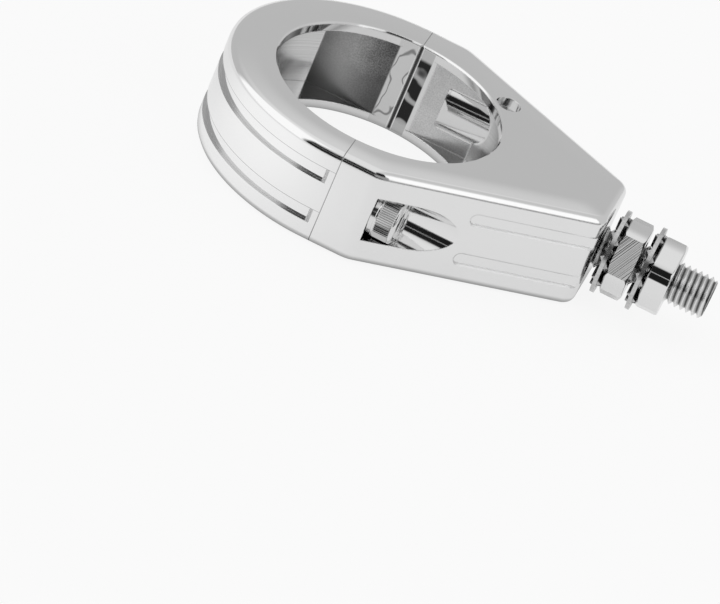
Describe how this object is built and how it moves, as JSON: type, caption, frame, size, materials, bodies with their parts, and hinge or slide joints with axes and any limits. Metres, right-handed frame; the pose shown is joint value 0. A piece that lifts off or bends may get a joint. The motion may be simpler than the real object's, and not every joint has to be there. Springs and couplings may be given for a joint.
{
  "type": "mounting clamp with stud",
  "caption": "Two-piece ring clamp for a fork tube, closed by recessed socket screws, with a hollow threaded stud and lock nuts on its tapered nose.",
  "frame": {"origin": "centre of the clamping bore at half its height", "axes": "+Z along the bore towards the face with the wire hole, +X from the bore along the stud"},
  "size_m": [0.0981, 0.0586, 0.019],
  "materials": {
    "clamp_chrome": "polished",
    "screw_chrome": "knurled",
    "stud_steel": "satin",
    "washer_steel": "satin",
    "nut_chrome": "polished"
  },
  "bodies": {
    "root": {"clamp_body": "clamp_chrome", "clamp_cap": "clamp_chrome", "cap_screw_left": "screw_chrome", "cap_screw_right": "screw_chrome", "stud": "stud_steel", "lock_washer_inner": "washer_steel", "jam_nut_inner": "nut_chrome", "lock_washer_outer": "washer_steel", "jam_nut_outer": "nut_chrome"}
  },
  "joints": []
}
